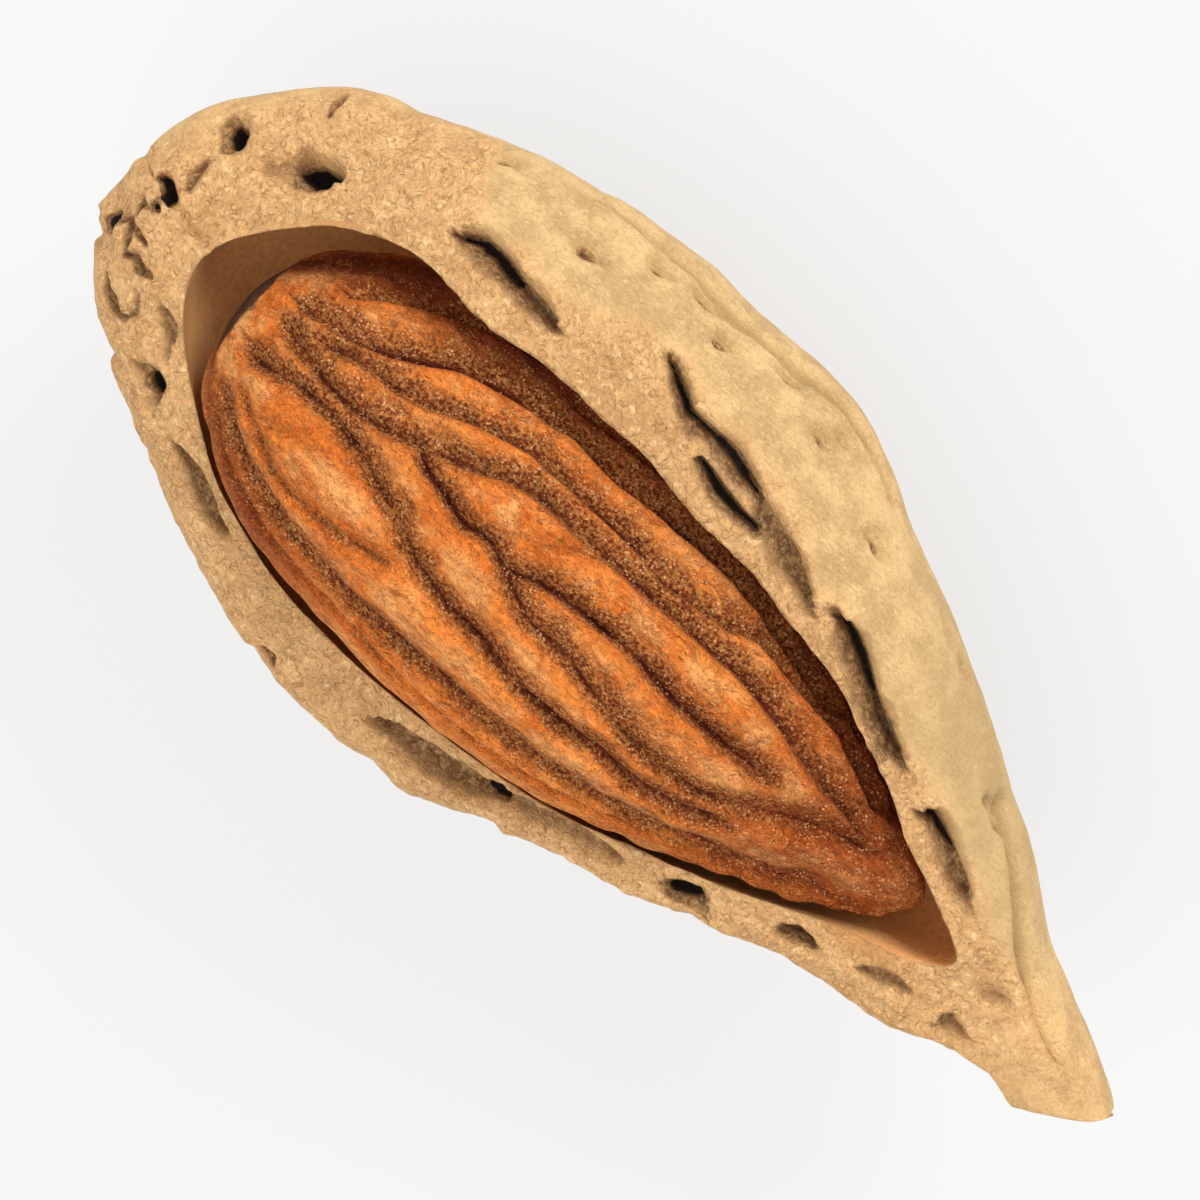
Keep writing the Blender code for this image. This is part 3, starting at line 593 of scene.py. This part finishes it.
class Material:
    """A Principled material with a few calls that add its nodes."""

    def __init__(self, name):
        self.made = bpy.data.materials.new(name)
        self.made.use_nodes = True
        self.tree = self.made.node_tree
        self.shader = self.tree.nodes["Principled BSDF"]

    def link(self, value, socket):
        if isinstance(value, bpy.types.NodeSocket):
            self.tree.links.new(value, socket)
        else:
            socket.default_value = value

    def value(self, name):
        """One of the shading values that the surface carries."""
        node = self.tree.nodes.new("ShaderNodeAttribute")
        node.attribute_name = name
        return node.outputs["Fac"]

    def place(self, stretch=(1, 1, 1)):
        """Object coordinates in millimetres, stretched."""
        node = self.tree.nodes.new("ShaderNodeTexCoord")
        scaled = self.tree.nodes.new("ShaderNodeVectorMath")
        scaled.operation = "MULTIPLY"
        scaled.inputs[1].default_value = [1000 * s for s in stretch]
        self.tree.links.new(node.outputs["Object"], scaled.inputs[0])
        return scaled.outputs[0]

    def noise(self, grain, detail=3, rough=0.55, stretch=(1, 1, 1), distort=0):
        """A noise pattern whose grain is in millimetres."""
        node = self.tree.nodes.new("ShaderNodeTexNoise")
        self.tree.links.new(self.place(stretch), node.inputs["Vector"])
        node.inputs["Scale"].default_value = 1 / grain
        node.inputs["Detail"].default_value = detail
        node.inputs["Roughness"].default_value = rough
        node.inputs["Distortion"].default_value = distort
        return node.outputs["Fac"]

    def specks(self, grain):
        """Distance from the nearest of many scattered points, this far apart in millimetres."""
        node = self.tree.nodes.new("ShaderNodeTexVoronoi")
        self.tree.links.new(self.place(), node.inputs["Vector"])
        node.inputs["Scale"].default_value = 1 / grain
        return node.outputs["Distance"]

    def math(self, operation, a, b=0.0, c=0.0):
        node = self.tree.nodes.new("ShaderNodeMath")
        node.operation = operation
        self.link(a, node.inputs[0])
        self.link(b, node.inputs[1])
        self.link(c, node.inputs[2])
        return node.outputs[0]

    def share(self, amount, value):
        """The value times a fixed amount."""
        return self.math("MULTIPLY", value, amount)

    def stirred(self, value, pattern, amount):
        """The value, moved up and down by a pattern that is 0.5 on average."""
        return self.math("MULTIPLY_ADD", self.math("SUBTRACT", pattern, 0.5), amount, value)

    def step(self, value, low, high):
        """0 where value is at low, 1 at high, smooth between."""
        node = self.tree.nodes.new("ShaderNodeMapRange")
        node.interpolation_type = "SMOOTHSTEP"
        self.link(value, node.inputs["Value"])
        node.inputs["From Min"].default_value = low
        node.inputs["From Max"].default_value = high
        return node.outputs["Result"]

    def mix(self, share, a, b):
        node = self.tree.nodes.new("ShaderNodeMix")
        node.data_type = "RGBA"
        self.link(share, node.inputs["Factor"])
        self.link(a if isinstance(a, bpy.types.NodeSocket) else (*a, 1), node.inputs["A"])
        self.link(b if isinstance(b, bpy.types.NodeSocket) else (*b, 1), node.inputs["B"])
        return node.outputs["Result"]

    def bump(self, height, distance, strength, below=None):
        """Normals bumped by a height of up to this distance in millimetres, over those of the bump below."""
        node = self.tree.nodes.new("ShaderNodeBump")
        node.inputs["Distance"].default_value = distance * MM
        self.link(strength, node.inputs["Strength"])
        self.link(height, node.inputs["Height"])
        if below is not None:
            self.link(below, node.inputs["Normal"])
        return node.outputs["Normal"]


def shell_material():
    """Pale, felted wood outside, its sunk furrows darker as painted shade; a grainier, warmer split face; a brown
    hollow, darker near its edge and paler deep in as painted shade and light; brown to black in the holes, painted
    shade over their fibres' brown.
    """
    m = Material("shell_wood")
    rim, hollow, deep, stain, dark, crack, furrow, dull = (
        m.value(name) for name in ("rim", "hollow", "deep", "stain", "dark", "crack", "furrow", "dull"))
    broad = m.noise(3.0, 3)
    blotch = m.noise(0.8, 4, 0.6)
    grain = m.noise(0.16, 3, 0.6, (1, 1, 1), 0.6)
    worms = m.noise(0.22, 4, 0.65, (1, 1, 1), 1.6)
    fibres = m.noise(0.075, 4, 0.75, (0.5, 1, 1), 0.6)

    patches = m.math("MULTIPLY_ADD", blotch, 0.6, m.share(0.4, broad))
    hull = m.mix(m.step(patches, 0.40, 0.60), (0.48, 0.30, 0.124), (0.65, 0.43, 0.19))
    hull = m.mix(m.share(0.5, m.step(fibres, 0.5, 0.72)), hull, (0.86, 0.60, 0.31))
    hull = m.mix(m.share(0.75, m.step(fibres, 0.5, 0.30)), hull, (0.36, 0.21, 0.08))
    hull = m.mix(m.share(0.5, dull), hull, (0.41, 0.275, 0.12))
    # Painted shade: the sunk furrows are made darker.
    hull = m.mix(m.share(0.7, m.step(furrow, 0.2, 0.9)), hull, (0.36, 0.225, 0.08))

    face = m.mix(m.step(blotch, 0.35, 0.65), (0.70, 0.375, 0.145), (0.82, 0.465, 0.19))
    face = m.mix(m.share(0.75, m.step(worms, 0.52, 0.68)), face, (1.0, 0.70, 0.36))
    face = m.mix(m.share(0.8, m.step(worms, 0.47, 0.33)), face, (0.40, 0.19, 0.065))
    colour = m.mix(rim, hull, face)
    colour = m.mix(m.share(0.7, m.step(stain, 0.25, 0.9)), colour, (0.62, 0.28, 0.085))

    inner = m.mix(m.step(grain, 0.35, 0.65), (0.84, 0.42, 0.15), (1.0, 0.53, 0.20))
    # Painted light and shade: the hollow is darker near its edge and paler with depth and towards the tip.
    inner = m.mix(deep, (0.42, 0.21, 0.075), inner)
    colour = m.mix(hollow, colour, inner)

    # Painted shade in the holes: brown on their ramps, partly the fibres' own colour, and black where they go deep.
    in_hole = m.stirred(dark, grain, 0.5)
    brown = m.mix(m.step(grain, 0.4, 0.65), (0.22, 0.10, 0.035), (0.50, 0.29, 0.12))
    colour = m.mix(m.step(in_hole, 0.14, 0.50), colour, brown)
    colour = m.mix(m.step(in_hole, 0.70, 0.94), colour, (0.012, 0.006, 0.003))
    colour = m.mix(crack, colour, (0.05, 0.02, 0.01))
    m.link(colour, m.shader.inputs["Base Color"])
    m.link(0.72, m.shader.inputs["Roughness"])
    m.link(0.25, m.shader.inputs["Specular IOR Level"])
    rough = m.bump(worms, 0.20, m.math("MULTIPLY_ADD", rim, 0.9, 0.05))
    m.link(m.bump(fibres, 0.10, 0.6, rough), m.shader.inputs["Normal"])
    return m.made


def kernel_material():
    """Orange-brown skin: pale crests and paler crinkle spots, both painted highlight; darker speckled slopes, their
    darkening partly painted shade; red-brown groove bottoms, painted shade in the creases; a dark keel-side strip,
    painted shade under the rim, which is the skin's own dark red along the blunt end's back edge; a dark scar at
    the blunt end, and pale scurf in the valleys and at the tip."""
    m = Material("kernel_skin")
    groove, valley, crest, lip, hilum, tip, keel_side = (
        m.value(name) for name in ("groove", "valley", "crest", "lip", "hilum", "tip", "keel_side"))
    broad = m.noise(2.2, 3)
    streaks = m.noise(0.5, 4, 0.65, (0.5, 1, 1), 0.8)
    crinkle = m.noise(0.20, 4, 0.7, (0.7, 1, 1), 0.8)
    grain = m.noise(0.10, 2, 0.6)

    ridge = m.mix(m.step(broad, 0.35, 0.65), (0.76, 0.175, 0.022), (0.95, 0.27, 0.042))
    # Painted highlight: pale orange on the crests, in patches.
    crest_highlight = m.math("MULTIPLY", crest, m.step(m.noise(0.9, 3, 0.6), 0.34, 0.62))
    ridge = m.mix(crest_highlight, ridge, (1.0, 0.42, 0.125))
    ridge = m.mix(m.share(0.75, m.step(streaks, 0.50, 0.72)), ridge, (0.46, 0.085, 0.010))
    # Painted highlight: paler orange on the crinkle's raised spots.
    ridge = m.mix(m.share(0.45, m.step(crinkle, 0.53, 0.72)), ridge, (1.0, 0.42, 0.11))
    # Darker red-brown on the keel side: painted shade on the strip the rim shades, and the skin's own colour along
    # the blunt end's back edge.
    ridge = m.mix(m.share(0.95, keel_side), ridge, (0.19, 0.024, 0.005))

    # Darker speckled colour in the valleys, wider on one side of each groove: the speckles are the skin's own, the
    # darkening partly painted shade on the slopes turned from the light.
    spread = m.stirred(m.stirred(valley, streaks, 0.8), crinkle, 0.6)
    slope = m.mix(m.step(grain, 0.40, 0.60), (0.20, 0.032, 0.007), (0.54, 0.20, 0.050))
    colour = m.mix(m.step(spread, 0.20, 0.85), ridge, slope)
    # Painted shade: near-black red-brown at the groove bottoms.
    colour = m.mix(m.step(m.stirred(groove, crinkle, 0.9), 0.42, 1.0), colour, (0.12, 0.014, 0.005))
    colour = m.mix(m.share(0.5, lip), colour, (0.62, 0.20, 0.05))
    colour = m.mix(m.share(0.75, tip), colour, (0.25, 0.038, 0.007))

    flakes = m.math("MULTIPLY", m.step(m.specks(0.10), 0.42, 0.20), m.step(m.noise(0.25, 2), 0.42, 0.56))
    dusty_ends = m.share(0.9, m.math("MAXIMUM", tip, m.share(0.5, keel_side)))
    cover = m.math("MAXIMUM", m.step(spread, 0.0, 0.45), dusty_ends)
    scurf = m.math("MULTIPLY", flakes, m.share(0.8, cover))
    colour = m.mix(scurf, colour, (0.86, 0.46, 0.19))
    colour = m.mix(m.share(0.92, hilum), colour, (0.03, 0.02, 0.018))
    m.link(colour, m.shader.inputs["Base Color"])
    m.link(0.5, m.shader.inputs["Roughness"])
    m.link(0.12, m.shader.inputs["Specular IOR Level"])
    wrinkles = m.bump(streaks, 0.5, 0.9)
    fine = m.bump(crinkle, 0.30, 1.0, wrinkles)
    m.link(m.bump(scurf, 0.04, 0.6, fine), m.shader.inputs["Normal"])
    return m.made


def dress(piece, node, material):
    """Gives a piece its material, and puts it in the place of a CAD node."""
    piece.data.materials.append(material)
    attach(piece, "root")
    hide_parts(node)


dress(closed_mesh("shell", *shell_surface()), "shell_half", shell_material())
dress(closed_mesh("kernel_skin", *kernel_surface()), "kernel", kernel_material())

# Camera: nearly over the open side, leaning to the keel side, and rolled so that the nut lies aslant.
TILT_DEG, ROLL_COS, ROLL_SIN = 18.0, 0.738, 0.675
LOOKED_AT, CAMERA_DISTANCE = np.array([-1.16, 0.2, 0.0]), 87.72
tilt = np.radians(TILT_DEG)
towards = np.array([0, np.sin(tilt), np.cos(tilt)])
length = np.hypot(ROLL_COS, ROLL_SIN)
east, north = np.array([1.0, 0, 0]), np.array([0, np.cos(tilt), -np.sin(tilt)])
right = (ROLL_COS * east + ROLL_SIN * north) / length
upward = (ROLL_COS * north - ROLL_SIN * east) / length
eye = to_part(LOOKED_AT + towards * CAMERA_DISTANCE)
camera = bpy.data.objects.new("camera", bpy.data.cameras.new("camera"))
camera.data.lens, camera.data.sensor_width = 100, 36
camera.data.clip_start, camera.data.clip_end = 0.005, 10
turned = np.eye(4)
turned[:3, 0], turned[:3, 1], turned[:3, 2], turned[:3, 3] = right, upward, towards, eye
camera.matrix_world = Matrix(turned.tolist())
bpy.context.scene.collection.objects.link(camera)
bpy.context.scene.camera = camera

# Pale floor.
mesh = bpy.data.meshes.new("floor")
mesh.from_pydata([(-1, -1, 0), (1, -1, 0), (1, 1, 0), (-1, 1, 0)], [], [(0, 1, 2, 3)])
floor = bpy.data.objects.new("floor", mesh)
bpy.context.scene.collection.objects.link(floor)
pale = Material("floor_white")
pale.link((0.20, 0.20, 0.20, 1), pale.shader.inputs["Base Color"])
pale.link((1, 1, 1, 1), pale.shader.inputs["Emission Color"])
pale.link(0.645, pale.shader.inputs["Emission Strength"])
pale.link(0.9, pale.shader.inputs["Roughness"])
pale.link(0.0, pale.shader.inputs["Specular IOR Level"])
floor.data.materials.append(pale.made)


def area_light(name, direction, distance, size, power):
    """A square light that shines on the nut from this direction, given in the picture's right, up and near."""
    away = direction[0] * right + direction[1] * upward + direction[2] * towards
    away = away / np.linalg.norm(away)
    light = bpy.data.objects.new(name, bpy.data.lights.new(name, "AREA"))
    light.data.size, light.data.energy = size, power
    side = np.cross([0, 0, 1.0], away)
    side = side / np.linalg.norm(side)
    place = np.eye(4)
    place[:3, 0], place[:3, 1], place[:3, 2] = side, np.cross(away, side), away
    place[:3, 3] = away * distance
    light.matrix_world = Matrix(place.tolist())
    bpy.context.scene.collection.objects.link(light)


area_light("key", (0.55, 0.5, 0.75), 0.6, 0.30, 3.0)
area_light("fill", (-0.6, -0.45, 0.7), 0.6, 1.0, 3.5)
world = bpy.data.worlds.new("studio")
world.use_nodes = True
world.node_tree.nodes["Background"].inputs["Color"].default_value = (1, 1, 1, 1)
world.node_tree.nodes["Background"].inputs["Strength"].default_value = 0.74
bpy.context.scene.world = world
bpy.context.scene.view_settings.view_transform = "Standard"
